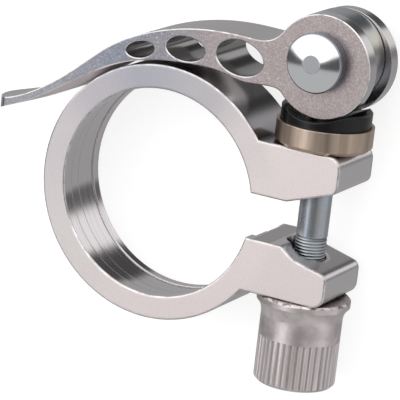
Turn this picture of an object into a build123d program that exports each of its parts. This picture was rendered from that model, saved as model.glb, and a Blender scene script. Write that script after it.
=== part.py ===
"""Quick-release seatpost clamp: a slit collar drawn closed by an eccentric cam lever on an eye bolt.

The seat-tube axis is +Z and the origin lies on it, at the middle of the collar's width. +X points through the
slit to the ears, and the bolt runs along Y, with the cam lever at its +Y end and the thumb nut at its -Y end.
The lever is closed. All sizes are millimetres and all angles are degrees.
"""

import os
from math import acos, cos, degrees, radians, sin, sqrt

from build123d import *

# Collar: a bore for the seat tube, with a lip that stops on the tube's end
seat_tube_d = 34.9
collar_wall = 3.15
collar_width = 12.7
lip_overhang = 0.7
lip_height = 2.5
relief_depth = 0.2
relief_start = 6.0
relief_width = 4.9
edge_break = 0.2

# Ears: outer faces square to the bolt, slit faces with a nose at the bore and a ramp to the end
bolt_offset = 4.25
ear_overhang = 6.05
ear_half_height = 12.2
ear_corner_r = 2.1
ramp_corner_r = 1.4
slit_half = 3.6
nose_end = 2.3
upper_ramp_rise = 2.9
lower_step_run = 2.1
lower_step_rise = 1.6
lower_ramp_rise = 3.2
nose_r = 0.9
step_r = 3.5
ear_hole_d = 6.6
ear_hole_shift = 0.6

# Eye bolt: a plain shank, a core for the M5 thread, and a round eye for the pivot pin
bolt_d = 5.0
thread_core_d = 4.5
shank_below_middle = 2.4
eye_r = 7.4
eye_thickness = 5.2
bolt_end_recess = 1.2
bolt_end_break = 0.6

# Pivot pin: a shaft between two domed heads, each with a small flat spot in the middle
pin_d = 6.5
pin_head_d = 9.4
pin_head_rim = 2.1
pin_head_break = 0.25
pin_dome_height = 0.95
pin_spot_d = 2.9

# Cam seat: a thin cup washer on the upper ear, holding a saddle washer with a hollow top
cup_r = 7.7
cup_wall = 0.5
cup_floor = 0.6
cup_height = 3.7
cup_corner_break = 0.6
saddle_height = 5.6
saddle_middle = 4.15
saddle_hollow_r = 10.0
saddle_edge_break = 0.3
seat_hole_d = 5.8

# Lever: an eccentric forked head, and a pierced blade that lies round the collar
cam_r = 8.2
cam_drop = 0.8
cam_lead = 0.4
lever_width = 10.6
fork_slot = 5.6
fork_slot_depth = 7.9
neck_top_angle = 147.0
neck_bottom_angle = 221.0
tip_angle = 168.4
tip_gap = 12.4
tip_thickness = 2.2
tip_top_slope = 5.0
tip_under_slope = 23.0
tip_plan_r = 6.5
under_bevel = 1.0
lever_edge_break = 0.15

# Blade outlines, as angles about the bore axis and gaps from the collar's outside: the outer edge, the inner
# edge at the side faces, and the fuller inner edge between the bevels
blade_outer = [(153, 5.9), (138, 3.5), (119, 3.75), (100, 4.95), (80, 7.2), (66, 9.6)]
blade_inner = [(59, 3.3), (68, 2.3), (83, 0.95), (102, 0.45), (122, 0.9), (138, 2.0), (152, 4.3)]
blade_belly = [(59, 3.3), (68, 2.3), (83, 0.95), (102, 0.45), (122, 0.5), (138, 0.85), (152, 3.5)]

# Oval holes along the blade: angle, gap of the centre, half length, half height and tilt
blade_holes = [(105.7, 2.2, 2.55, 1.32, 15), (85.7, 3.1, 3.44, 1.95, 1), (64.9, 6.0, 4.16, 2.75, -7)]

# Thumb nut: a flange on the lower ear, a smooth neck and a fluted grip
nut_flange_r = 7.45
nut_flange_height = 1.2
nut_flange_break = 0.3
nut_flare_height = 2.2
nut_body_r = 6.5
nut_length = 14.4
nut_smooth_length = 6.8
nut_mouth_d = 5.8
nut_mouth_depth = 1.0
nut_end_break = 0.5
flute_count = 38
flute_depth = 0.3

# Clearances: pin in the eye, bolt in the nut, saddle in the cup, cam over the saddle
turning_gap = 0.05
thread_gap = 0.05
cup_fit_gap = 0.05
cam_rest_gap = 0.3

# Places worked out from the sizes above
bore_r = seat_tube_d / 2
collar_r = bore_r + collar_wall
lip_r = bore_r - lip_overhang
half_width = collar_width / 2
bolt_x = collar_r + bolt_offset
ear_end_x = bolt_x + ear_overhang
nose_x = bolt_x - nose_end
cup_rim_y = ear_half_height + cup_height
saddle_base_y = ear_half_height + cup_floor
saddle_floor_y = saddle_base_y + saddle_middle
saddle_r = cup_r - cup_wall - cup_fit_gap
cam_y = saddle_floor_y + cam_rest_gap + cam_r
cam_x = bolt_x + cam_lead
pin_y = cam_y + cam_drop
lever_half = lever_width / 2
nut_end_y = -ear_half_height - nut_length
bolt_end_y = nut_end_y + bolt_end_recess

# Turned pieces on the bolt are drawn as half sections beside its axis
bolt_axis = Axis((bolt_x, 0, 0), (0, 1, 0))
bolt_section = Plane(origin=(bolt_x, 0, 0), x_dir=(1, 0, 0), z_dir=(0, 0, 1))
pin_axis = Axis((bolt_x, pin_y, 0), (0, 0, 1))
pin_section = Plane(origin=(bolt_x, pin_y, 0), x_dir=(1, 0, 0), z_dir=(0, -1, 0))

os.makedirs("parts", exist_ok=True)


def round_collar(angle, gap):
    """Point at an angle about the bore axis, a gap outside the collar."""
    radius = collar_r + gap
    return (radius * cos(radians(angle)), radius * sin(radians(angle)))


def on_cam(angle):
    """Point on the cam's rim."""
    return (cam_x + cam_r * cos(radians(angle)), cam_y + cam_r * sin(radians(angle)))


def along_cam(angle):
    """Direction along the cam's rim, clockwise."""
    return (sin(radians(angle)), -cos(radians(angle)))


# Collar: ring and ears are one profile, carried along the bore axis
ear_root_x = lip_r / 2

with BuildSketch() as upper_ear:
    with BuildLine():
        Polyline(
            (ear_root_x, slit_half),
            (nose_x, slit_half),
            (ear_end_x, slit_half + upper_ramp_rise),
            (ear_end_x, ear_half_height),
            (ear_root_x, ear_half_height),
            close=True,
        )
    make_face()
    fillet(upper_ear.vertices().group_by(Axis.X)[-1].sort_by(Axis.Y)[-1], ear_corner_r)
    fillet(upper_ear.vertices().group_by(Axis.X)[-1].sort_by(Axis.Y)[0], ramp_corner_r)

lower_step = (nose_x + lower_step_run, -slit_half - lower_step_rise)

with BuildSketch() as lower_ear:
    with BuildLine():
        Polyline(
            (ear_root_x, -slit_half),
            (nose_x, -slit_half),
            lower_step,
            (ear_end_x, -slit_half - lower_ramp_rise),
            (ear_end_x, -ear_half_height),
            (ear_root_x, -ear_half_height),
            close=True,
        )
    make_face()
    fillet(lower_ear.vertices().group_by(Axis.X)[-1].sort_by(Axis.Y)[0], ear_corner_r)
    fillet(lower_ear.vertices().group_by(Axis.X)[-1].sort_by(Axis.Y)[-1], ramp_corner_r)
    fillet(lower_ear.vertices().sort_by_distance(lower_step)[0], step_r)
    fillet(lower_ear.vertices().sort_by_distance((nose_x, -slit_half))[0], nose_r)

with BuildPart() as collar:
    with BuildSketch() as collar_profile:
        Circle(collar_r)
        add(upper_ear.sketch)
        add(lower_ear.sketch)
        Circle(lip_r, mode=Mode.SUBTRACT)
        with Locations((collar_r / 2, 0)):
            Rectangle(collar_r, 2 * slit_half, mode=Mode.SUBTRACT)
    extrude(amount=half_width, both=True)
    with BuildSketch(Plane.XZ) as bore_section:
        with Locations((bore_r / 2, -lip_height / 2)):
            Rectangle(bore_r, collar_width - lip_height)
        with Locations((bore_r / 2, half_width - relief_start - relief_width / 2)):
            Rectangle(bore_r + 2 * relief_depth, relief_width)
    revolve(axis=Axis.Z, mode=Mode.SUBTRACT)
    with BuildSketch(Plane.XZ) as bolt_way:
        with Locations((bolt_x - ear_hole_shift, 0)):
            Circle(ear_hole_d / 2)
    extrude(amount=ear_half_height, both=True, mode=Mode.SUBTRACT)
    chamfer(collar.faces().sort_by(Axis.Z)[-1].edges(), edge_break)
    chamfer(collar.faces().sort_by(Axis.Z)[0].edges(), edge_break)
collar.part.label = "collar"
export_step(collar.part, "parts/collar.step")

# Cup washer: pressed from thin sheet, with its bottom edge broken
with BuildPart() as cup_washer:
    with BuildSketch(bolt_section) as cup_half:
        with BuildLine():
            Polyline(
                (seat_hole_d / 2, ear_half_height),
                (cup_r, ear_half_height),
                (cup_r, cup_rim_y),
                (cup_r - cup_wall, cup_rim_y),
                (cup_r - cup_wall, saddle_base_y),
                (seat_hole_d / 2, saddle_base_y),
                close=True,
            )
        make_face()
        chamfer(cup_half.vertices().group_by(Axis.Y)[0].sort_by(Axis.X)[-1], cup_corner_break)
    revolve(axis=bolt_axis)
cup_washer.part.label = "cup_washer"
export_step(cup_washer.part, "parts/cup_washer.step")

# Saddle washer: a round block with a trough along the pin's direction, where the cam bears
with BuildPart() as saddle_washer:
    with BuildSketch(bolt_section) as saddle_half:
        with BuildLine():
            Polyline(
                (seat_hole_d / 2, saddle_base_y),
                (saddle_r, saddle_base_y),
                (saddle_r, saddle_base_y + saddle_height),
                (seat_hole_d / 2, saddle_base_y + saddle_height),
                close=True,
            )
        make_face()
        chamfer(saddle_half.vertices().group_by(Axis.Y)[-1].sort_by(Axis.X)[-1], saddle_edge_break)
    revolve(axis=bolt_axis)
    with BuildSketch() as trough:
        with Locations((bolt_x, saddle_floor_y + saddle_hollow_r)):
            Circle(saddle_hollow_r)
    extrude(amount=cup_r, both=True, mode=Mode.SUBTRACT)
saddle_washer.part.label = "saddle_washer"
export_step(saddle_washer.part, "parts/saddle_washer.step")

# Eye bolt: the eye stands in the lever's fork, and the threaded end runs down into the nut
with BuildPart() as eye_bolt:
    with BuildSketch() as eye_outline:
        with Locations((bolt_x, pin_y)):
            Circle(eye_r)
    extrude(amount=eye_thickness / 2, both=True)
    with BuildSketch(bolt_section) as bolt_half:
        with BuildLine():
            Polyline(
                (0, pin_y),
                (bolt_d / 2, pin_y),
                (bolt_d / 2, -shank_below_middle),
                (thread_core_d / 2, -shank_below_middle),
                (thread_core_d / 2, bolt_end_y),
                (0, bolt_end_y),
                close=True,
            )
        make_face()
        chamfer(bolt_half.vertices().group_by(Axis.Y)[0].sort_by(Axis.X)[-1], bolt_end_break)
    revolve(axis=bolt_axis)
    with BuildSketch() as eye_way:
        with Locations((bolt_x, pin_y)):
            Circle(pin_d / 2 + turning_gap)
    extrude(amount=eye_thickness, both=True, mode=Mode.SUBTRACT)
eye_bolt.part.label = "eye_bolt"
export_step(eye_bolt.part, "parts/eye_bolt.step")

# Lever: the blade is full between its bevels, and the head's disc is joined to it before the fork is cut
tip_bottom = round_collar(tip_angle, tip_gap)
tip_top = (tip_bottom[0], tip_bottom[1] + tip_thickness)
outer_points = [tip_top] + [round_collar(*place) for place in blade_outer] + [on_cam(neck_top_angle)]
off_tip = (cos(radians(tip_top_slope)), sin(radians(tip_top_slope)))
to_tip = (-cos(radians(tip_under_slope)), -sin(radians(tip_under_slope)))
bevel_z = lever_half - under_bevel
lever_back = Plane.XY.offset(-lever_half)


def draw_blade(inner_places):
    """Draw the blade's outline in the open sketch, with its inner edge through the given places."""
    inner_points = [on_cam(neck_bottom_angle)] + [round_collar(*place) for place in inner_places] + [tip_bottom]
    with BuildLine() as outline:
        Spline(outer_points, tangents=(off_tip, along_cam(neck_top_angle)))
        Line(outer_points[-1], inner_points[0])
        Spline(inner_points, tangents=(along_cam(neck_bottom_angle), to_tip))
        Line(tip_bottom, tip_top)
    make_face(outline.edges())


with BuildPart() as lever:
    for side in (-1, 1):
        with BuildSketch(Plane.XY.offset(side * bevel_z)) as blade_full:
            draw_blade(blade_belly)
        with BuildSketch(Plane.XY.offset(side * lever_half)) as blade_face:
            draw_blade(blade_inner)
        loft()
    with BuildSketch(Plane.XY.offset(-bevel_z)) as blade_middle:
        draw_blade(blade_belly)
    extrude(amount=2 * bevel_z)
    with BuildSketch(lever_back) as cam_disc:
        with Locations((cam_x, cam_y)):
            Circle(cam_r)
    extrude(amount=lever_width)
    with BuildSketch(lever_back) as blade_ovals:
        for hole_angle, hole_gap, half_length, half_height, tilt in blade_holes:
            with Locations(Location((*round_collar(hole_angle, hole_gap), 0), (0, 0, tilt))):
                Ellipse(half_length, half_height)
    extrude(amount=lever_width, mode=Mode.SUBTRACT)
    with BuildSketch(Plane.XZ) as tip_corners:
        with Locations((tip_bottom[0] + tip_plan_r / 2, 0)):
            Rectangle(tip_plan_r, lever_width)
        with Locations((tip_bottom[0] + tip_plan_r, 0)):
            Circle(tip_plan_r, mode=Mode.SUBTRACT)
    extrude(amount=pin_y + cam_r, both=True, mode=Mode.SUBTRACT)
    chamfer(lever.faces().sort_by(Axis.Z)[-1].edges(), lever_edge_break)
    chamfer(lever.faces().sort_by(Axis.Z)[0].edges(), lever_edge_break)
    with BuildSketch() as fork_way:
        with Locations((bolt_x - fork_slot_depth + 2 * cam_r, cam_y)):
            Rectangle(4 * cam_r, 4 * cam_r)
    extrude(amount=fork_slot / 2, both=True, mode=Mode.SUBTRACT)
    with BuildSketch() as pin_way:
        with Locations((bolt_x, pin_y)):
            Circle(pin_d / 2)
    extrude(amount=lever_width, both=True, mode=Mode.SUBTRACT)
lever.part.label = "lever"
export_step(lever.part, "parts/lever.step")

# Pivot pin: turned in one piece and headed over both cheeks of the fork
dome_base_z = lever_half + pin_head_rim
dome_base_r = pin_head_d / 2 - pin_head_break
dome_r = (dome_base_r**2 + pin_dome_height**2) / (2 * pin_dome_height)
dome_middle = (0, dome_base_z + pin_dome_height - dome_r)
dome_start = degrees(acos(dome_base_r / dome_r))
dome_sweep = degrees(acos(pin_spot_d / 2 / dome_r)) - dome_start

with BuildPart() as pivot_pin:
    with BuildSketch(pin_section) as pin_half:
        with BuildLine():
            dome = CenterArc(dome_middle, dome_r, dome_start, dome_sweep)
            Polyline(
                dome @ 1,
                (0, (dome @ 1).Y),
                (0, 0),
                (pin_d / 2, 0),
                (pin_d / 2, lever_half),
                (pin_head_d / 2, lever_half),
                (pin_head_d / 2, dome_base_z - pin_head_break),
                dome @ 0,
            )
        make_face()
    revolve(axis=pin_axis)
    mirror(about=Plane.XY)
pivot_pin.part.label = "pivot_pin"
export_step(pivot_pin.part, "parts/pivot_pin.step")

# Thumb nut: turned from bar, with straight flutes round the grip
nut_end = Plane(origin=(bolt_x, nut_end_y, 0), x_dir=(1, 0, 0), z_dir=(0, 1, 0))
nut_flange_y = -ear_half_height - nut_flange_height
nut_flare_y = nut_flange_y - nut_flare_height
nut_thread_r = thread_core_d / 2 + thread_gap
flute_side = 2 * flute_depth

with BuildPart() as thumb_nut:
    with BuildSketch(bolt_section) as nut_half:
        with BuildLine():
            flare = TangentArc((nut_body_r, nut_flare_y), (nut_flange_r, nut_flange_y), tangent=(0, 1))
            Polyline(
                flare @ 1,
                (nut_flange_r, -ear_half_height),
                (nut_mouth_d / 2, -ear_half_height),
                (nut_mouth_d / 2, -ear_half_height - nut_mouth_depth),
                (nut_thread_r, -ear_half_height - nut_mouth_depth),
                (nut_thread_r, nut_end_y),
                (nut_body_r, nut_end_y),
                flare @ 0,
            )
        make_face()
        chamfer(nut_half.vertices().group_by(Axis.Y)[-1].sort_by(Axis.X)[-1], nut_flange_break)
        chamfer(nut_half.vertices().group_by(Axis.Y)[0].sort_by(Axis.X)[-1], nut_end_break)
    revolve(axis=bolt_axis)
    with BuildSketch(nut_end) as flutes:
        with PolarLocations(nut_body_r - flute_depth + flute_side / sqrt(2), flute_count):
            Rectangle(flute_side, flute_side, rotation=45)
    extrude(amount=nut_length - nut_smooth_length, mode=Mode.SUBTRACT)
thumb_nut.part.label = "thumb_nut"
export_step(thumb_nut.part, "parts/thumb_nut.step")
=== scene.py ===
"""Looks of the quick-release seatpost clamp: finishes, the bolt's thread, studio light and camera.

The CAD solids keep their shapes. Each gets a procedural finish that works in millimetres of object space,
so a finish stays on its piece when the piece moves. Lengths in the scene are metres.
"""

import logging
import math
from dataclasses import dataclass
from enum import Enum

import bpy
import numpy as np
from mathutils import Matrix, Vector


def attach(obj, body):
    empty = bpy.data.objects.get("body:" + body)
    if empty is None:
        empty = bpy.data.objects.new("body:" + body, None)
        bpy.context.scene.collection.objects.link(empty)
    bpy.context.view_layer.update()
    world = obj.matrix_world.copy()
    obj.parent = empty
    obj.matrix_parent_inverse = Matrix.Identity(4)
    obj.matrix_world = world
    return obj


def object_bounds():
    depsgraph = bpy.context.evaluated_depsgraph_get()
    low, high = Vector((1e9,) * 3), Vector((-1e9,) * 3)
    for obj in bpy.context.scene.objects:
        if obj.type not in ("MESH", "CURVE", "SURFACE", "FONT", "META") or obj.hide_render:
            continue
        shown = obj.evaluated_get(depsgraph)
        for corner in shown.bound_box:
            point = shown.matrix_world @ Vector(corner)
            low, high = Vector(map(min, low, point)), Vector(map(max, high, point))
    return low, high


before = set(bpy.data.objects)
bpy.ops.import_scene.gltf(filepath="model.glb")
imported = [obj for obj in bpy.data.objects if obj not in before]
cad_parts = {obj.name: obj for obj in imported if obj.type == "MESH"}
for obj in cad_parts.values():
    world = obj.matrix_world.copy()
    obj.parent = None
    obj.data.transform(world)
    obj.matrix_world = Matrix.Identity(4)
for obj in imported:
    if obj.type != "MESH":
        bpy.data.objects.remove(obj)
cad_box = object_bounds()

log = logging.getLogger("clamp")
logging.basicConfig(level=logging.INFO, format="%(message)s")

Node = bpy.types.Node
Outputs = bpy.types.NodeOutputs
Socket = bpy.types.NodeSocket
Material = bpy.types.Material
Pair = tuple[float, float]
Triple = tuple[float, float, float]
Tone = tuple[float, float, float]
Stops = tuple[tuple[float, Tone], ...]

# Lengths
MM = 0.001
BOLT_X_MM = 24.85
PIN_Y_MM = 26.25
PAINTED_SHADE_REACH_MM = 3.0
RELIEF_MM = 0.02

# Kinds and places of sockets
FLOAT = "NodeSocketFloat"
VECTOR = "NodeSocketVector"
MIX_INPUTS = (0, 6, 7)
MIX_RESULT = 2

# Settings that the finishes share
NODE_SAMPLES = 8
NOISE_RANGE = (0.3, 0.7)
GRAIN_DETAIL = 2.0
CLOUD_SCALE = 0.12
HOLE_MARGIN = (1.01, 1.05)
FLAT_FACING = (0.9, 0.97)
EDGE_BLUR = 1.3
OPEN_SHARE = 0.8


def grey(level: float) -> Tone:
    """Make a neutral tone.

    Args:
        level: Its linear level.

    Returns:
        The tone.
    """
    return (level, level, level)


class Blend(Enum):
    """How a second colour goes over a first."""

    MIX = "MIX"
    MULTIPLY = "MULTIPLY"


class Graph:
    """Short calls that build one node tree."""

    def __init__(self, tree: bpy.types.NodeTree) -> None:
        self.tree = tree

    def add(self, kind: str, **settings: object) -> Node:
        """Make a node.

        Args:
            kind: The node's type name.
            settings: Properties to set on it.

        Returns:
            The new node.
        """
        node = self.tree.nodes.new(kind)
        for name, value in settings.items():
            setattr(node, name, value)
        return node

    def put(self, socket: Socket, value: object) -> None:
        """Link a socket to another one, or set its constant.

        Args:
            socket: The input socket.
            value: An output socket, a number, or a tuple of numbers.
        """
        if isinstance(value, bpy.types.NodeSocket):
            self.tree.links.new(value, socket)
        elif socket.type == "RGBA":
            socket.default_value = (*value, 1.0)
        else:
            socket.default_value = value

    def math(self, operation: str, first: object, second: object = 0.0) -> Socket:
        """Work out one arithmetic step.

        Args:
            operation: The operation's name.
            first: Its first value.
            second: Its second value.

        Returns:
            The result's socket.
        """
        node = self.add("ShaderNodeMath", operation=operation)
        self.put(node.inputs[0], first)
        self.put(node.inputs[1], second)
        return node.outputs[0]

    def distance(self, first: Socket, second: Socket) -> Socket:
        """Work out the square root of the sum of two squares.

        Args:
            first: The way along one axis.
            second: The way along the other.

        Returns:
            The distance's socket.
        """
        squares = [self.math("MULTIPLY", way, way) for way in (first, second)]
        return self.math("SQRT", self.math("ADD", *squares))

    def between(self, factor: object, first: object, second: object) -> Socket:
        """Find the value that lies a share of the way from one value to another.

        Args:
            factor: The share.
            first: The value at 0.
            second: The value at 1.

        Returns:
            The result's socket.
        """
        way = self.math("MULTIPLY", factor, self.math("SUBTRACT", second, first))
        return self.math("ADD", first, way)

    def span(self, value: object, low: float, high: float, start: object = 0.0, end: object = 1.0) -> Socket:
        """Map a value smoothly from one range to another, held at both ends.

        Args:
            value: The value to map.
            low: Where the range begins.
            high: Where it ends.
            start: The result at low.
            end: The result at high.

        Returns:
            The result's socket.
        """
        node = self.add("ShaderNodeMapRange", interpolation_type="SMOOTHSTEP")
        for socket, item in zip(node.inputs, (value, low, high, start, end)):
            self.put(socket, item)
        return node.outputs[0]

    def noise(self, vector: object, scale: object, detail: float = 3.0) -> Socket:
        """Add a noise texture.

        Args:
            vector: Where it is read.
            scale: Features for each unit of length.
            detail: Octaves.

        Returns:
            The noise's value, about 0.5 on average.
        """
        node = self.add("ShaderNodeTexNoise")
        self.put(node.inputs["Vector"], vector)
        self.put(node.inputs["Scale"], scale)
        self.put(node.inputs["Detail"], detail)
        return node.outputs["Fac"]

    def ramp(self, value: object, stops: Stops) -> Socket:
        """Turn a value into a colour that runs smoothly from stop to stop.

        Args:
            value: The place on the ramp, 0 to 1.
            stops: Places and their linear colours, in order.

        Returns:
            The colour's socket.
        """
        node = self.add("ShaderNodeValToRGB")
        ramp = node.color_ramp
        ramp.interpolation = "EASE"
        while len(ramp.elements) < len(stops):
            ramp.elements.new(1.0)
        for element, (place, colour) in zip(ramp.elements, stops):
            element.position = place
            element.color = (*colour, 1.0)
        self.put(node.inputs[0], value)
        return node.outputs["Color"]

    def mix(self, factor: object, first: object, second: object, blend: Blend = Blend.MIX) -> Socket:
        """Mix two colours.

        Args:
            factor: The share of the second.
            first: The first colour.
            second: The second colour.
            blend: How the second goes over the first.

        Returns:
            The colour's socket.
        """
        node = self.add("ShaderNodeMix", data_type="RGBA", blend_type=blend.value)
        for index, item in zip(MIX_INPUTS, (factor, first, second)):
            self.put(node.inputs[index], item)
        return node.outputs[MIX_RESULT]

    def use(self, group: bpy.types.NodeTree, **values: object) -> Outputs:
        """Add a node group.

        Args:
            group: The group's tree.
            values: What goes into its sockets, by name.

        Returns:
            The group's outputs.
        """
        node = self.add("ShaderNodeGroup", node_tree=group)
        for name, value in values.items():
            self.put(node.inputs[name], value)
        return node.outputs


class Effects:
    """The node groups that the finishes share. They put out points, values and masks only."""

    def __init__(self) -> None:
        self.place = self._place()
        self.grain = self._grain()
        self.lines = self._lines()
        self.oval = self._oval()

    @staticmethod
    def _tree(name: str, inputs: dict[str, str], outputs: dict[str, str]) -> tuple[Graph, Outputs, Node]:
        """Make an empty group.

        Args:
            name: The group's name.
            inputs: Socket names and their types.
            outputs: Socket names and their types.

        Returns:
            Its graph, the sockets of what it is given, and its output node.
        """
        tree = bpy.data.node_groups.new(name, "ShaderNodeTree")
        for label, kind in inputs.items():
            tree.interface.new_socket(label, in_out="INPUT", socket_type=kind)
        for label, kind in outputs.items():
            tree.interface.new_socket(label, in_out="OUTPUT", socket_type=kind)
        graph = Graph(tree)
        return graph, graph.add("NodeGroupInput").outputs, graph.add("NodeGroupOutput")

    def _place(self) -> bpy.types.NodeTree:
        """Group: the point in millimetres, its distance and turn about the seat-tube axis, and its facing."""
        values = ("X", "Y", "Z", "Radius", "Turn", "Facing Y", "Facing Z")
        graph, _, out = self._tree("place", {}, {"Point": VECTOR, **dict.fromkeys(values, FLOAT)})
        where = graph.add("ShaderNodeTexCoord")
        scaled = graph.add("ShaderNodeVectorMath", operation="SCALE")
        graph.put(scaled.inputs[0], where.outputs["Object"])
        graph.put(scaled.inputs["Scale"], 1.0 / MM)
        point = graph.add("ShaderNodeSeparateXYZ")
        graph.put(point.inputs[0], scaled.outputs[0])
        facing = graph.add("ShaderNodeSeparateXYZ")
        graph.put(facing.inputs[0], where.outputs["Normal"])
        x, y = point.outputs["X"], point.outputs["Y"]
        angle = graph.math("DIVIDE", graph.math("ARCTAN2", y, x), math.tau)
        graph.put(out.inputs["Point"], scaled.outputs[0])
        for axis in "XYZ":
            graph.put(out.inputs[axis], point.outputs[axis])
        for axis in "YZ":
            graph.put(out.inputs[f"Facing {axis}"], facing.outputs[axis])
        graph.put(out.inputs["Radius"], graph.distance(x, y))
        graph.put(out.inputs["Turn"], graph.math("FRACT", angle))
        return graph.tree

    def _grain(self) -> bpy.types.NodeTree:
        """Group: fine speckle, and a coarser cloud."""
        inputs = {"Point": VECTOR, "Scale": FLOAT}
        graph, given, out = self._tree("grain", inputs, {"Speckle": FLOAT, "Cloud": FLOAT})
        fine = graph.noise(given["Point"], given["Scale"], GRAIN_DETAIL)
        scale = graph.math("MULTIPLY", given["Scale"], CLOUD_SCALE)
        coarse = graph.noise(given["Point"], scale, GRAIN_DETAIL)
        graph.put(out.inputs["Speckle"], graph.span(fine, *NOISE_RANGE))
        graph.put(out.inputs["Cloud"], graph.span(coarse, *NOISE_RANGE))
        return graph.tree

    def _lines(self) -> bpy.types.NodeTree:
        """Group: drawn or turned lines, noise stretched by a factor on each axis."""
        graph, given, out = self._tree("lines", {"Point": VECTOR, "Stretch": VECTOR}, {"Value": FLOAT})
        stretched = graph.add("ShaderNodeVectorMath", operation="MULTIPLY")
        graph.put(stretched.inputs[0], given["Point"])
        graph.put(stretched.inputs[1], given["Stretch"])
        noise = graph.noise(stretched.outputs[0], 1.0)
        graph.put(out.inputs["Value"], graph.span(noise, *NOISE_RANGE))
        return graph.tree

    def _oval(self) -> bpy.types.NodeTree:
        """Group: inside an oval hole that runs along Z.

        The measure is the root of (u / a)^2 + (v / b)^2 in the oval's own axes.
        """
        inputs = {"Point": VECTOR, "Centre": VECTOR, "Turn": FLOAT, "Scale": VECTOR}
        graph, given, out = self._tree("oval", inputs, {"Inside": FLOAT})
        turned = graph.add("ShaderNodeVectorRotate", rotation_type="Z_AXIS")
        graph.put(turned.inputs["Vector"], given["Point"])
        graph.put(turned.inputs["Center"], given["Centre"])
        graph.put(turned.inputs["Angle"], given["Turn"])
        away = graph.add("ShaderNodeVectorMath", operation="SUBTRACT")
        graph.put(away.inputs[0], turned.outputs[0])
        graph.put(away.inputs[1], given["Centre"])
        scaled = graph.add("ShaderNodeVectorMath", operation="MULTIPLY")
        graph.put(scaled.inputs[0], away.outputs[0])
        graph.put(scaled.inputs[1], given["Scale"])
        size = graph.add("ShaderNodeVectorMath", operation="LENGTH")
        graph.put(size.inputs[0], scaled.outputs[0])
        graph.put(out.inputs["Inside"], graph.span(size.outputs["Value"], *HOLE_MARGIN, 1.0, 0.0))
        return graph.tree


@dataclass(frozen=True)
class CollarFinish:
    """Turned aluminium: satin faces, a bright turned bore, drawn sides and bright broken edges."""

    # Colours, those in stops by their turn about the seat-tube axis: painted shade on the face, greyer by the
    # lever, and painted reflections on the outer wall
    face: Stops = (
        (0.0, (0.8, 0.725, 0.72)),
        (0.11, (0.72, 0.66, 0.66)),
        (0.19, (0.52, 0.505, 0.525)),
        (0.29, (0.44, 0.44, 0.49)),
        (0.36, (0.53, 0.505, 0.54)),
        (0.45, (0.66, 0.62, 0.635)),
        (0.61, (0.76, 0.71, 0.705)),
        (0.75, (0.82, 0.735, 0.735)),
    )
    ring: Stops = (
        (0.0, (0.6, 0.57, 0.58)),
        (0.09, (0.3, 0.285, 0.3)),
        (0.144, (0.3, 0.285, 0.3)),
        (0.161, (0.92, 0.88, 0.88)),
        (0.21, (0.92, 0.88, 0.88)),
        (0.26, (0.6, 0.57, 0.58)),
        (0.29, (0.6, 0.57, 0.58)),
        (0.32, (0.92, 0.88, 0.88)),
        (0.42, (0.92, 0.88, 0.88)),
        (0.46, (0.6, 0.57, 0.58)),
    )
    ear_face: Tone = (0.79, 0.71, 0.705)
    bore: Tone = (0.84, 0.8, 0.81)
    step: Tone = (0.8, 0.77, 0.78)
    side: Tone = (0.86, 0.82, 0.835)
    broken: Tone = (0.95, 0.92, 0.92)
    nick: Tone = (0.62, 0.6, 0.6)

    # Shares of a colour, at the ends of its grain and in a closed gap, where shade is painted
    shade: Pair = (0.935, 1.055)
    painted_shade_least: float = 0.5

    # Roughness
    face_roughness: float = 0.42
    bore_roughness: float = 0.14
    side_roughness: float = 0.17
    ear_roughness: float = 0.26
    broken_roughness: float = 0.16

    # Sizes, in millimetres, those in pairs as distances from the seat-tube axis
    half_width: float = 6.35
    break_depth: float = 0.2
    rounding: float = 0.3
    ear_rounding: float = 1.0
    bore_end: Pair = (17.9, 18.0)
    ring_end: Pair = (20.7, 21.2)
    face_end: Pair = (20.0, 22.5)
    ear_dulling: Pair = (21.5, 24.0)
    ear_softening: Pair = (21.5, 23.5)

    # Steps and turned lines of the bore, and grain of the faces
    step_facing: Pair = (0.3, 0.6)
    grain: float = 6.0
    lines: Triple = (0.012, 0.012, 2.6)
    # The bore's turned lines are real, but they show fully only on the turn where they catch the light, so
    # their light is painted there
    lines_turn: Pair = (0.5, 0.57)
    lines_least: float = 0.06
    lines_depth: float = 2.0
    depth: float = 0.2


@dataclass(frozen=True)
class Oval:
    """An oval hole in the lever's blade: its centre, its turn in degrees and half its length and height."""

    x: float
    y: float
    turn: float
    half_length: float
    half_height: float


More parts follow.
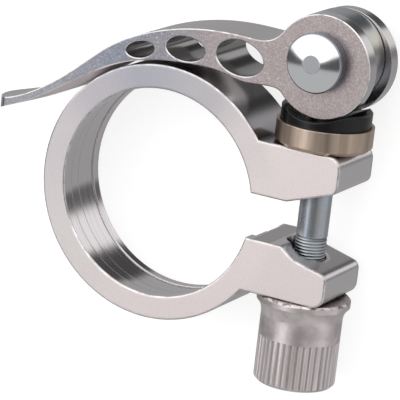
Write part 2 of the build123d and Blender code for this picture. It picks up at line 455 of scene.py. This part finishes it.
@dataclass(frozen=True)
class LeverFinish:
    """Blasted aluminium with a sparkle on the faces, plainer edges and bright broken corners."""

    # Colours, those in stops by their place from the blade's tip to the head: painted shade along the face
    face: Stops = (
        (0.0, (0.39, 0.385, 0.425)),
        (0.3, (0.285, 0.305, 0.36)),
        (0.45, (0.315, 0.31, 0.34)),
        (0.7, (0.42, 0.36, 0.365)),
        (1.0, (0.43, 0.37, 0.37)),
    )
    fleck: Tone = (0.72, 0.7, 0.71)
    edge: Tone = (0.72, 0.69, 0.7)
    # Painted light that makes the underside by the ring pale
    underside_painted_light: Tone = (0.83, 0.78, 0.8)
    # Painted shade on the walls of the blade's holes
    hole_painted_shade: Tone = (0.34, 0.325, 0.33)
    broken: Tone = (0.96, 0.94, 0.94)
    nick: Tone = (0.6, 0.58, 0.59)

    # Shares of a colour, at the ends of its grain and in a closed gap, where shade is painted
    shade: Pair = (0.86, 1.16)
    edge_painted_shade: float = 0.7
    face_painted_shade: float = 0.85

    # Roughness
    face_roughness: float = 0.44
    edge_roughness: float = 0.2
    under_roughness: float = 0.5
    broken_roughness: float = 0.3

    # Sizes, in millimetres
    half_width: float = 5.3
    break_depth: float = 0.15
    rounding: float = 0.12
    reach: Pair = (-33.0, 33.0)
    ovals: tuple[Oval, ...] = (
        Oval(11.3, 24.13, -7.0, 4.16, 2.75),
        Oval(1.78, 23.63, 1.0, 3.44, 1.95),
        Oval(-6.17, 21.95, 15.0, 2.55, 1.32),
    )

    # Grain, flecks and nicks, and where the underside is painted pale as light
    grain: float = 5.0
    cloud: Pair = (0.8, 1.1)
    depth: float = 0.4
    fleck_scale: float = 2.8
    fleck_detail: float = 4.0
    fleck_level: Pair = (0.59, 0.69)
    fleck_along: Pair = (0.4, 0.75)
    fleck_share: Pair = (0.7, 0.5)
    nick_level: Pair = (0.65, 1.0)
    under_along: Pair = (0.38, 0.5)
    under_facing: Pair = (-0.6, -0.2)


@dataclass(frozen=True)
class PinFinish:
    """Chrome heads, a little matt on the flat spot in the middle of each, with painted shade dulling their
    sides.

    The spot and the head end at distances from the pin's axis, in millimetres.
    """

    colour: Tone = (0.86, 0.87, 0.89)
    spot: Tone = (0.32, 0.325, 0.34)
    # Painted shade on the heads' sides
    side: Tone = (0.3, 0.31, 0.36)
    roughness: float = 0.14
    spot_roughness: float = 0.3
    spot_end: Pair = (1.31, 1.61)
    head_end: Pair = (4.45, 4.55)
    rounding: float = 0.3
    lines: Triple = (0.6, 0.6, 0.6)
    depth: float = 0.03


@dataclass(frozen=True)
class PlainFinish:
    """Two tones mixed by a grain or lines."""

    name: str
    colour: Tone
    second: Tone
    metallic: float
    roughness: float
    lines: Triple
    depth: float
    rounding: float
    shine: float = 0.5
    # Share of the colour left in a closed gap, where shade is painted
    painted_shade_least: float = 0.3


BRONZE = PlainFinish(
    name="bronze",
    colour=(0.63, 0.51, 0.42),
    second=(0.45, 0.345, 0.27),
    metallic=1.0,
    roughness=0.34,
    lines=(0.9, 0.05, 0.9),
    depth=0.05,
    rounding=0.2,
)
PLASTIC = PlainFinish(
    name="plastic",
    colour=(0.003, 0.003, 0.0035),
    second=(0.006, 0.006, 0.006),
    metallic=0.0,
    roughness=0.26,
    lines=(3.0, 3.0, 3.0),
    depth=0.1,
    rounding=0.25,
    shine=0.4,
)


@dataclass(frozen=True)
class BoltFinish:
    """Blue zinc, worn here and there, with a painted yellow highlight on one side of the eye, partly the
    zinc's own yellow tint.

    The gleam's turn about the pin is in degrees and its spread in radians. The eye starts at a height in
    millimetres.
    """

    colour: Tone = (0.5, 0.55, 0.63)
    worn: Tone = (0.49, 0.5, 0.51)
    # Painted highlight, partly the zinc's yellow tint
    painted_gleam: Tone = (0.7, 0.68, 0.6)
    gleam_turn: float = 25.0
    gleam_spread: float = 0.6
    eye_start: Pair = (19.0, 21.0)
    roughness: float = 0.26
    # Shares of the colour in gaps, where shade is painted: what is left, and the openness that counts as
    # closed
    painted_shade_least: float = 0.3
    closed: float = 0.35
    rounding: float = 0.2
    lines: Triple = (0.7, 0.3, 0.7)
    depth: float = 0.06


@dataclass(frozen=True)
class NutFinish:
    """Cast aluminium: a mottled neck, worn ridges with a painted highlight, grooves with painted shade, and
    marks on the flange's rim.
    """

    # Colours and roughness; the ridges carry a painted highlight and the grooves painted shade
    colour: Tone = (0.9, 0.825, 0.825)
    cloud: Tone = (0.68, 0.61, 0.61)
    ridge_painted_highlight: Tone = (0.98, 0.91, 0.91)
    groove_painted_shade: Tone = (0.72, 0.65, 0.65)
    mark: Tone = (0.3, 0.275, 0.265)
    # Share of the colour left in a closed gap, where shade is painted
    painted_shade_least: float = 0.35
    roughness: float = 0.34

    # Sizes, in millimetres, those in pairs along the bolt or away from its axis
    rim_start: Pair = (-12.65, -12.45)
    flutes_end: Pair = (-19.15, -18.85)
    ridge_start: Pair = (6.2, 6.46)
    rounding: float = 0.2

    # Grain, wear and marks
    flute_facing: Pair = (0.5, 0.8)
    grain: float = 3.6
    wear: Triple = (1.3, 0.07, 1.3)
    wear_least: float = 0.15
    mark_scale: float = 0.9
    mark_level: Pair = (0.54, 0.62)
    depth: float = 0.35


@dataclass(frozen=True)
class ThreadFinish:
    """Zinc on the thread's crests, with painted shade down in its grooves.

    The crests start at a distance from the bolt's axis, in millimetres.
    """

    crest: Tone = (0.54, 0.58, 0.6)
    groove_painted_shade: Tone = (0.18, 0.2, 0.215)
    crest_start: Pair = (2.4, 2.48)
    roughness: float = 0.36


class Finishes:
    """Makes each material once from its finish."""

    def __init__(self, effects: Effects) -> None:
        self.effects = effects

    def _start(self, name: str) -> tuple[Material, Graph, Node, Outputs]:
        """Make an empty material.

        Args:
            name: The material's name.

        Returns:
            The material, its graph, its surface shader and the outputs of the place group.
        """
        material = bpy.data.materials.new(name)
        material.use_nodes = True
        material.node_tree.nodes.clear()
        graph = Graph(material.node_tree)
        out = graph.add("ShaderNodeOutputMaterial")
        shader = graph.add("ShaderNodeBsdfPrincipled")
        graph.put(out.inputs["Surface"], shader.outputs[0])
        return material, graph, shader, graph.use(self.effects.place)

    @staticmethod
    def _surface(graph: Graph, shader: Node, tone: object, rough: object, metallic: float = 1.0) -> None:
        """Set the main sockets of a surface.

        Args:
            graph: The material's graph.
            shader: Its surface shader.
            tone: The colour.
            rough: The roughness.
            metallic: 1 for a metal, 0 for a plastic.
        """
        graph.put(shader.inputs["Base Color"], tone)
        graph.put(shader.inputs["Metallic"], metallic)
        graph.put(shader.inputs["Roughness"], rough)

    @staticmethod
    def _relief(graph: Graph, shader: Node, height: object, strength: float, rounding: object) -> None:
        """Let a height bend the shading, over edges that shade as if slightly rounded.

        Args:
            graph: The material's graph.
            shader: Its surface shader.
            height: The height's socket.
            strength: How strongly it bends.
            rounding: Radius of the edges' rounding, in metres.
        """
        bevel = graph.add("ShaderNodeBevel", samples=NODE_SAMPLES)
        graph.put(bevel.inputs["Radius"], rounding)
        bump = graph.add("ShaderNodeBump")
        graph.put(bump.inputs["Normal"], bevel.outputs[0])
        graph.put(bump.inputs["Strength"], strength)
        graph.put(bump.inputs["Distance"], RELIEF_MM * MM)
        graph.put(bump.inputs["Height"], height)
        graph.put(shader.inputs["Normal"], bump.outputs[0])

    @staticmethod
    def _painted_shade(graph: Graph, tone: object, least: object, closed: float = 0.0) -> Socket:
        """Paint shade into a tone in corners and gaps.

        Args:
            graph: The material's graph.
            tone: The clean colour.
            least: The share of it that is left in a closed gap.
            closed: The openness that counts as closed.

        Returns:
            The colour's socket.
        """
        corner = graph.add("ShaderNodeAmbientOcclusion", samples=NODE_SAMPLES)
        graph.put(corner.inputs["Distance"], PAINTED_SHADE_REACH_MM * MM)
        clear = closed + OPEN_SHARE * (1.0 - closed)
        unshaded = graph.span(corner.outputs["AO"], closed, clear, least, 1.0)
        return graph.mix(1.0, tone, unshaded, Blend.MULTIPLY)

    def _lines(self, graph: Graph, place: Outputs, stretch: Triple) -> Socket:
        """Draw lines on a piece.

        Args:
            graph: The material's graph.
            place: The outputs of the place group.
            stretch: Features for each millimetre on each axis.

        Returns:
            The lines' value, 0 to 1.
        """
        return graph.use(self.effects.lines, Point=place["Point"], Stretch=stretch)["Value"]

    @staticmethod
    def _off_bolt(graph: Graph, place: Outputs) -> Socket:
        """Measure the distance from the bolt's axis.

        Args:
            graph: The material's graph.
            place: The outputs of the place group.

        Returns:
            The distance's socket, in millimetres.
        """
        return graph.distance(graph.math("SUBTRACT", place["X"], BOLT_X_MM), place["Z"])

    @staticmethod
    def _off_pin(graph: Graph, place: Outputs) -> tuple[Socket, Socket]:
        """Measure the way from the pin's axis.

        Args:
            graph: The material's graph.
            place: The outputs of the place group.

        Returns:
            The ways along X and Y, in millimetres.
        """
        x = graph.math("SUBTRACT", place["X"], BOLT_X_MM)
        y = graph.math("SUBTRACT", place["Y"], PIN_Y_MM)
        return x, y

    @staticmethod
    def _masks(graph: Graph, place: Outputs, half: float, depth: float) -> tuple[Socket, Socket]:
        """Tell the flat faces and their broken edges from the sides.

        Args:
            graph: The material's graph.
            place: The outputs of the place group.
            half: Half the piece's width, in millimetres.
            depth: Depth of its broken edges, in millimetres.

        Returns:
            The masks of the flat faces and of the broken edges.
        """
        outer = graph.span(graph.math("ABSOLUTE", place["Z"]), half - EDGE_BLUR * depth, half - depth)
        facing = graph.span(graph.math("ABSOLUTE", place["Facing Z"]), *FLAT_FACING)
        flat = graph.math("MULTIPLY", outer, facing)
        return flat, graph.math("SUBTRACT", outer, flat)

    def collar(self, finish: CollarFinish) -> Material:
        """Collar: satin faces, greyer by the lever as painted shade, a bore with turned lines, drawn sides,
        painted reflections on the ring's outer wall and bright edges.

        Args:
            finish: Its colours, places and roughness.

        Returns:
            The material.
        """
        material, graph, shader, place = self._start("collar")
        radius, turn = place["Radius"], place["Turn"]
        flat, broken = self._masks(graph, place, finish.half_width, finish.break_depth)
        inside = graph.span(radius, *finish.bore_end, 1.0, 0.0)
        # Painted shade: the face's tone by turn is greyer by the lever.
        face = graph.mix(graph.span(radius, *finish.face_end), graph.ramp(turn, finish.face), finish.ear_face)
        # Painted reflections: dark and bright bands by turn on the ring's outer wall; the ears' sides keep
        # one tone.
        outer = graph.mix(graph.span(radius, *finish.ring_end), graph.ramp(turn, finish.ring), finish.side)
        facing = graph.span(graph.math("ABSOLUTE", place["Facing Z"]), *finish.step_facing)
        steps = graph.math("MULTIPLY", inside, facing)
        wall = graph.mix(steps, graph.mix(inside, outer, finish.bore), finish.step)
        grain = graph.use(self.effects.grain, Point=place["Point"], Scale=finish.grain)
        glint = graph.mix(grain["Cloud"], finish.broken, finish.nick)
        tone = graph.mix(broken, graph.mix(flat, wall, face), glint)
        # Turned lines of the bore, strong only where they catch the light: painted light.
        deep = graph.math("MULTIPLY", inside, graph.span(turn, *finish.lines_turn, finish.lines_least, 1.0))
        lines = graph.math("MULTIPLY", deep, self._lines(graph, place, finish.lines))
        mottle = graph.mix(flat, lines, grain["Speckle"])
        tone = graph.mix(1.0, tone, graph.span(mottle, 0.0, 1.0, *finish.shade), Blend.MULTIPLY)
        rough = graph.span(radius, *finish.ear_dulling, finish.side_roughness, finish.ear_roughness)
        rough = graph.between(inside, rough, finish.bore_roughness)
        rough = graph.between(flat, rough, finish.face_roughness)
        rough = graph.between(broken, rough, finish.broken_roughness)
        # Painted shade in corners and gaps
        self._surface(graph, shader, self._painted_shade(graph, tone, finish.painted_shade_least), rough)
        height = graph.math("MULTIPLY", mottle, graph.span(flat, 0.0, 1.0, finish.lines_depth, 1.0))
        ear = graph.math("SUBTRACT", graph.span(radius, *finish.ear_softening), flat)
        rounding = graph.span(ear, 0.0, 1.0, finish.rounding * MM, finish.ear_rounding * MM)
        self._relief(graph, shader, height, finish.depth, rounding)
        return material

    def _holes(self, graph: Graph, place: Outputs, ovals: tuple[Oval, ...]) -> Socket:
        """Tell the walls of oval holes from the rest of a piece.

        Args:
            graph: The material's graph.
            place: The outputs of the place group.
            ovals: The holes.

        Returns:
            The mask of all the holes.
        """
        masks = []
        for oval in ovals:
            hole_painted_shade = graph.use(
                self.effects.oval,
                Point=place["Point"],
                Centre=(oval.x, oval.y, 0.0),
                Turn=math.radians(-oval.turn),
                Scale=(1.0 / oval.half_length, 1.0 / oval.half_height, 0.0),
            )
            masks.append(hole_painted_shade["Inside"])
        holes = masks[0]
        for mask in masks[1:]:
            holes = graph.math("MAXIMUM", holes, mask)
        return holes

    def lever(self, finish: LeverFinish) -> Material:
        """Lever: sparkling faces with painted shade along the blade, plain edges, bright corners, painted
        light on the underside.

        Args:
            finish: Its colours, places and roughness.

        Returns:
            The material.
        """
        material, graph, shader, place = self._start("lever")
        flat, broken = self._masks(graph, place, finish.half_width, finish.break_depth)
        along = graph.span(place["X"], *finish.reach)
        grain = graph.use(self.effects.grain, Point=place["Point"], Scale=finish.grain)
        cloud = graph.span(grain["Cloud"], 0.0, 1.0, *finish.cloud)
        sparkle = graph.math("MULTIPLY", grain["Speckle"], cloud)
        shade = graph.span(sparkle, 0.0, 1.0, *finish.shade)
        # Painted shade: the face's tone runs darker and lighter along the blade.
        face = graph.mix(1.0, graph.ramp(along, finish.face), shade, Blend.MULTIPLY)
        share = graph.span(along, *finish.fleck_along, *finish.fleck_share)
        flecks = graph.noise(place["Point"], finish.fleck_scale, finish.fleck_detail)
        face = graph.mix(graph.span(flecks, *finish.fleck_level, 0.0, share), face, finish.fleck)
        holes = self._holes(graph, place, finish.ovals)
        facing = graph.span(place["Facing Y"], *finish.under_facing, 1.0, 0.0)
        low = graph.math("MULTIPLY", graph.span(along, *finish.under_along, 1.0, 0.0), facing)
        # Painted light: the underside by the ring is made pale.
        underside_painted_light = graph.math("MULTIPLY", low, graph.math("SUBTRACT", 1.0, holes))
        # Painted shade darkens the walls of the holes.
        edge = graph.mix(holes, graph.mix(underside_painted_light, finish.edge, finish.underside_painted_light), finish.hole_painted_shade)
        worn = graph.span(grain["Cloud"], *finish.nick_level)
        nicks = graph.math("MULTIPLY", worn, graph.math("SUBTRACT", 1.0, underside_painted_light))
        glint = graph.mix(nicks, finish.broken, finish.nick)
        tone = graph.mix(broken, graph.mix(flat, edge, face), glint)
        least = graph.span(flat, 0.0, 1.0, finish.edge_painted_shade, finish.face_painted_shade)
        # Painted shade in corners and gaps, none on the pale underside
        tone = self._painted_shade(graph, tone, graph.math("MAXIMUM", least, underside_painted_light))
        rough = graph.span(underside_painted_light, 0.0, 1.0, finish.edge_roughness, finish.under_roughness)
        rough = graph.span(flat, 0.0, 1.0, rough, finish.face_roughness)
        rough = graph.between(broken, rough, finish.broken_roughness)
        self._surface(graph, shader, tone, rough)
        height = graph.math("MULTIPLY", sparkle, flat)
        self._relief(graph, shader, height, finish.depth, finish.rounding * MM)
        return material

    def pin(self, finish: PinFinish) -> Material:
        """Pivot pin: chrome domes, matt on the flat spots, with painted shade round the heads' sides.

        Args:
            finish: Its colours, places and roughness.

        Returns:
            The material.
        """
        material, graph, shader, place = self._start("chrome")
        away = graph.distance(*self._off_pin(graph, place))
        around = graph.span(away, *finish.spot_end)
        dome = graph.mix(around, finish.spot, finish.colour)
        # Painted shade darkens the heads' sides.
        tone = graph.mix(graph.span(away, *finish.head_end), dome, finish.side)
        rough = graph.span(around, 0.0, 1.0, finish.spot_roughness, finish.roughness)
        self._surface(graph, shader, tone, rough)
        lines = self._lines(graph, place, finish.lines)
        self._relief(graph, shader, lines, finish.depth, finish.rounding * MM)
        return material

    def plain(self, finish: PlainFinish) -> Material:
        """A finish of two tones mixed by stretched noise.

        Args:
            finish: Its colours, roughness and stretch.

        Returns:
            The material.
        """
        material, graph, shader, place = self._start(finish.name)
        lines = self._lines(graph, place, finish.lines)
        # Two tones by the lines, with painted shade in corners and gaps
        tone = self._painted_shade(graph, graph.mix(lines, finish.colour, finish.second), finish.painted_shade_least)
        self._surface(graph, shader, tone, finish.roughness, finish.metallic)
        graph.put(shader.inputs["Specular IOR Level"], finish.shine)
        self._relief(graph, shader, lines, finish.depth, finish.rounding * MM)
        return material

    def bolt(self, finish: BoltFinish) -> Material:
        """Eye bolt: zinc drawn along its shank, with a painted highlight on the eye.

        Args:
            finish: Its colours, places and roughness.

        Returns:
            The material.
        """
        material, graph, shader, place = self._start("zinc")
        lines = self._lines(graph, place, finish.lines)
        x, y = self._off_pin(graph, place)
        # Painted highlight on one side of the eye, at a fixed turn about the pin.
        turn = graph.math("SUBTRACT", graph.math("ARCTAN2", y, x), math.radians(finish.gleam_turn))
        near = graph.span(graph.math("ABSOLUTE", turn), 0.0, finish.gleam_spread, 1.0, 0.0)
        painted_gleam_share = graph.math("MULTIPLY", near, graph.span(place["Y"], *finish.eye_start))
        tone = graph.mix(painted_gleam_share, graph.mix(lines, finish.colour, finish.worn), finish.painted_gleam)
        # Painted shade in corners and gaps
        tone = self._painted_shade(graph, tone, finish.painted_shade_least, finish.closed)
        self._surface(graph, shader, tone, finish.roughness)
        self._relief(graph, shader, lines, finish.depth, finish.rounding * MM)
        return material

    def nut(self, finish: NutFinish) -> Material:
        """Thumb nut: a mottled neck, ridges and grooves told apart by radius, marks on the flange's rim.

        Args:
            finish: Its colours, places and roughness.

        Returns:
            The material.
        """
        material, graph, shader, place = self._start("nut")
        away = self._off_bolt(graph, place)
        grain = graph.use(self.effects.grain, Point=place["Point"], Scale=finish.grain)
        worn = graph.span(self._lines(graph, place, finish.wear), 0.0, 1.0, finish.wear_least, 1.0)
        high = graph.math("MULTIPLY", graph.span(away, *finish.ridge_start), worn)
        facing = graph.span(graph.math("ABSOLUTE", place["Facing Y"]), *finish.flute_facing, 1.0, 0.0)
        flutes = graph.math("MULTIPLY", graph.span(place["Y"], *finish.flutes_end, 1.0, 0.0), facing)
        neck = graph.mix(grain["Cloud"], finish.colour, finish.cloud)
        # Painted highlight on the worn ridges and painted shade in the grooves.
        tone = graph.mix(flutes, neck, graph.mix(high, finish.groove_painted_shade, finish.ridge_painted_highlight))
        spots = graph.span(graph.noise(place["Point"], finish.mark_scale), *finish.mark_level)
        marks = graph.math("MULTIPLY", graph.span(place["Y"], *finish.rim_start), spots)
        # Painted shade in corners and gaps
        tone = self._painted_shade(graph, graph.mix(marks, tone, finish.mark), finish.painted_shade_least)
        self._surface(graph, shader, tone, finish.roughness)
        self._relief(graph, shader, grain["Speckle"], finish.depth, finish.rounding * MM)
        return material

    def thread(self, finish: ThreadFinish) -> Material:
        """Thread: crests and grooves told apart by their distance from the bolt's axis.

        Args:
            finish: Its colours, radii and roughness.

        Returns:
            The material.
        """
        material, graph, shader, place = self._start("thread")
        high = graph.span(self._off_bolt(graph, place), *finish.crest_start)
        # Painted shade in the thread's grooves.
        self._surface(graph, shader, graph.mix(high, finish.groove_painted_shade, finish.crest), finish.roughness)
        return material


@dataclass
class Thread:
    """The bolt's thread, a sleeve over its core from the shank into the nut's mouth, in millimetres."""

    start_y: float = -2.42
    end_y: float = -12.9
    core_r: float = 2.38
    crest_r: float = 2.49
    pitch: float = 0.5
    slope: float = 2.5
    around: int = 72
    per_pitch: int = 10

    def build(self, material: Material) -> bpy.types.Object:
        """Make the sleeve.

        The radius at height y and turn t is core + depth times a triangle wave of (y / pitch - t / turn). The
        wave has flat crests, and it dies away over one pitch at both ends.

        Args:
            material: Its finish.

        Returns:
            The new piece.
        """
        rows = int(round((self.start_y - self.end_y) / self.pitch * self.per_pitch)) + 1
        y = np.linspace(self.start_y, self.end_y, rows)[:, None]
        turn = np.linspace(0.0, math.tau, self.around, endpoint=False)[None, :]
        phase = np.mod(y / self.pitch - turn / math.tau, 1.0)
        wave = np.clip(self.slope * (0.5 - np.abs(phase - 0.5)), 0.0, 1.0)
        fade = np.clip(np.minimum(self.start_y - y, y - self.end_y) / self.pitch, 0.0, 1.0)
        radius = self.core_r + (self.crest_r - self.core_r) * wave * fade
        height = np.broadcast_to(y, radius.shape)
        points = np.stack([BOLT_X_MM + radius * np.sin(turn), height, radius * np.cos(turn)], axis=-1)
        row, column = np.meshgrid(np.arange(rows - 1), np.arange(self.around), indexing="ij")
        after = (column + 1) % self.around
        here, below = row * self.around, (row + 1) * self.around
        quads = np.stack([here + column, below + column, below + after, here + after], axis=-1)
        mesh = bpy.data.meshes.new("bolt_thread")
        mesh.from_pydata((points.reshape(-1, 3) * MM).tolist(), [], quads.reshape(-1, 4).tolist())
        mesh.polygons.foreach_set("use_smooth", np.ones(len(mesh.polygons), dtype=bool))
        mesh.materials.append(material)
        piece = bpy.data.objects.new("bolt_thread", mesh)
        bpy.context.scene.collection.objects.link(piece)
        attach(piece, "skewer")
        log.info("bolt_thread: %d faces", len(mesh.polygons))
        return piece


@dataclass
class Clamp:
    """The clamp's own pieces and their finishes."""

    finishes: Finishes

    def build(self) -> None:
        """Give every CAD node its material and add the thread."""
        made = {
            "collar": self.finishes.collar(CollarFinish()),
            "lever": self.finishes.lever(LeverFinish()),
            "pivot_pin": self.finishes.pin(PinFinish()),
            "eye_bolt": self.finishes.bolt(BoltFinish()),
            "cup_washer": self.finishes.plain(BRONZE),
            "saddle_washer": self.finishes.plain(PLASTIC),
            "thumb_nut": self.finishes.nut(NutFinish()),
        }
        for name, material in made.items():
            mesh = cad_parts[name].data
            mesh.materials.clear()
            mesh.materials.append(material)
            log.info("%s: %s", name, material.name)
        Thread().build(self.finishes.thread(ThreadFinish()))


@dataclass(frozen=True)
class Card:
    """A round card in the light tent, seen in the direction aim and fading out between two cosines."""

    aim: Triple
    inner: float
    outer: float
    level: float


@dataclass
class Studio:
    """Floor, light tent and camera."""

    # Levels of the tent's parts
    white: float = 1.18
    horizon: float = 0.8
    gap: float = 0.08
    front: float = 0.47
    below: float = 0.37
    box: Card = Card((-0.42, -0.26, 0.87), 0.93, 0.74, 2.15)
    cards: tuple[Card, ...] = (
        Card((0.34, 0.36, -0.87), 0.985, 0.965, 0.86),
        Card((0.0, 0.49, -0.87), 0.986, 0.97, 0.06),
        Card((0.51, 0.06, -0.86), 0.998, 0.992, 0.1),
        Card((0.96, -0.26, -0.07), 0.94, 0.84, 0.6),
    )

    # Where the tent's parts meet, as parts of a unit direction
    arch_x: float = -0.42
    arch_y: float = -0.25
    arch_slope: float = 0.5
    arch_blur: Pair = (-0.05, 0.05)
    gap_end: Pair = (0.5, 0.8)
    horizon_z: Pair = (-0.15, 0.15)
    front_y: Pair = (-0.32, -0.26)
    below_z: Pair = (-0.6, -0.3)

    # Floor
    floor_half: float = 4.0
    floor_tone: Tone = (0.42, 0.42, 0.42)
    floor_glow: float = 0.78

    # Camera: its lens and sensor in millimetres, its place and its own axes
    lens: float = 285.22
    sensor: float = 36.0
    nearest: float = 0.01
    eye: Triple = (0.218384, 0.129381, 0.438784)
    right: Triple = (0.88018, 0.1109, -0.46151)
    up: Triple = (-0.2157, 0.95958, -0.18079)
    back: Triple = (0.4228, 0.25867, 0.86852)

    def build(self) -> None:
        """Set up everything that is not part of the clamp."""
        self._world()
        self._floor(cad_box[0].z)
        self._camera()
        bpy.context.scene.view_settings.view_transform = "Standard"

    @staticmethod
    def _card(graph: Graph, way: Socket, card: Card, tone: object) -> Socket:
        """Hang a card in the tent.

        Args:
            graph: The world's graph.
            way: The direction's socket.
            card: The card.
            tone: The tent's colour behind it.

        Returns:
            The colour's socket with the card in front.
        """
        near = graph.add("ShaderNodeVectorMath", operation="DOT_PRODUCT")
        graph.put(near.inputs[0], way)
        graph.put(near.inputs[1], tuple(Vector(card.aim).normalized()))
        return graph.mix(graph.span(near.outputs["Value"], card.outer, card.inner), tone, grey(card.level))

    def _world(self) -> None:
        """Light tent: a white arch with a softbox, a dark gap round it, grey front and bottom, and cards."""
        world = bpy.data.worlds.new("tent")
        world.use_nodes = True
        world.node_tree.nodes.clear()
        graph = Graph(world.node_tree)
        way = graph.add("ShaderNodeTexCoord").outputs["Generated"]
        split = graph.add("ShaderNodeSeparateXYZ")
        graph.put(split.inputs[0], way)
        x, y, z = (split.outputs[axis] for axis in "XYZ")
        aside = graph.math("ABSOLUTE", graph.math("SUBTRACT", x, self.arch_x))
        arch = graph.math("MULTIPLY", aside, self.arch_slope)
        above = graph.math("SUBTRACT", graph.math("SUBTRACT", y, self.arch_y), arch)
        gap = graph.mix(graph.span(x, *self.gap_end), grey(self.gap), grey(self.front))
        bright = self._card(graph, way, self.box, graph.span(z, *self.horizon_z, self.horizon, self.white))
        tone = graph.mix(graph.span(above, *self.arch_blur), gap, bright)
        tone = graph.mix(graph.span(y, *self.front_y, 1.0, 0.0), tone, grey(self.front))
        tone = graph.mix(graph.span(z, *self.below_z, 1.0, 0.0), tone, grey(self.below))
        for card in self.cards:
            tone = self._card(graph, way, card, tone)
        path = graph.add("ShaderNodeLightPath")
        back = graph.add("ShaderNodeBackground")
        graph.put(back.inputs["Color"], graph.mix(path.outputs["Is Camera Ray"], tone, grey(1.0)))
        graph.put(graph.add("ShaderNodeOutputWorld").inputs["Surface"], back.outputs[0])
        bpy.context.scene.world = world

    def _floor(self, height: float) -> None:
        """White floor at the clamp's lowest point, where a soft shadow falls. Metal mirrors the tent, not it.

        Args:
            height: The floor's height.
        """
        half = self.floor_half
        mesh = bpy.data.meshes.new("floor")
        corners = [(-half, -half, height), (half, -half, height), (half, half, height), (-half, half, height)]
        mesh.from_pydata(corners, [], [(0, 1, 2, 3)])
        material = bpy.data.materials.new("floor")
        material.use_nodes = True
        material.node_tree.nodes.clear()
        graph = Graph(material.node_tree)
        path = graph.add("ShaderNodeLightPath")
        plain = graph.add("ShaderNodeBsdfDiffuse")
        graph.put(plain.inputs["Color"], self.floor_tone)
        glow = graph.add("ShaderNodeEmission")
        graph.put(glow.inputs["Color"], grey(1.0))
        strength = graph.math("MULTIPLY", path.outputs["Is Camera Ray"], self.floor_glow)
        graph.put(glow.inputs["Strength"], strength)
        both = graph.add("ShaderNodeAddShader")
        graph.put(both.inputs[0], plain.outputs[0])
        graph.put(both.inputs[1], glow.outputs[0])
        graph.put(graph.add("ShaderNodeOutputMaterial").inputs["Surface"], both.outputs[0])
        mesh.materials.append(material)
        floor = bpy.data.objects.new("floor", mesh)
        floor.visible_glossy = False
        floor.visible_shadow = False
        bpy.context.scene.collection.objects.link(floor)

    def _camera(self) -> None:
        """Camera that looks at the ring's front face from the bolt's side, half a metre away."""
        data = bpy.data.cameras.new("camera")
        data.sensor_width = self.sensor
        data.lens = self.lens
        data.clip_start = self.nearest
        camera = bpy.data.objects.new("camera", data)
        turn = Matrix((self.right, self.up, self.back)).transposed().to_4x4()
        camera.matrix_world = Matrix.Translation(self.eye) @ turn
        bpy.context.scene.collection.objects.link(camera)
        bpy.context.scene.camera = camera


def main() -> None:
    """Build the looks and the studio."""
    Clamp(Finishes(Effects())).build()
    Studio().build()


if __name__ == "__main__":
    main()
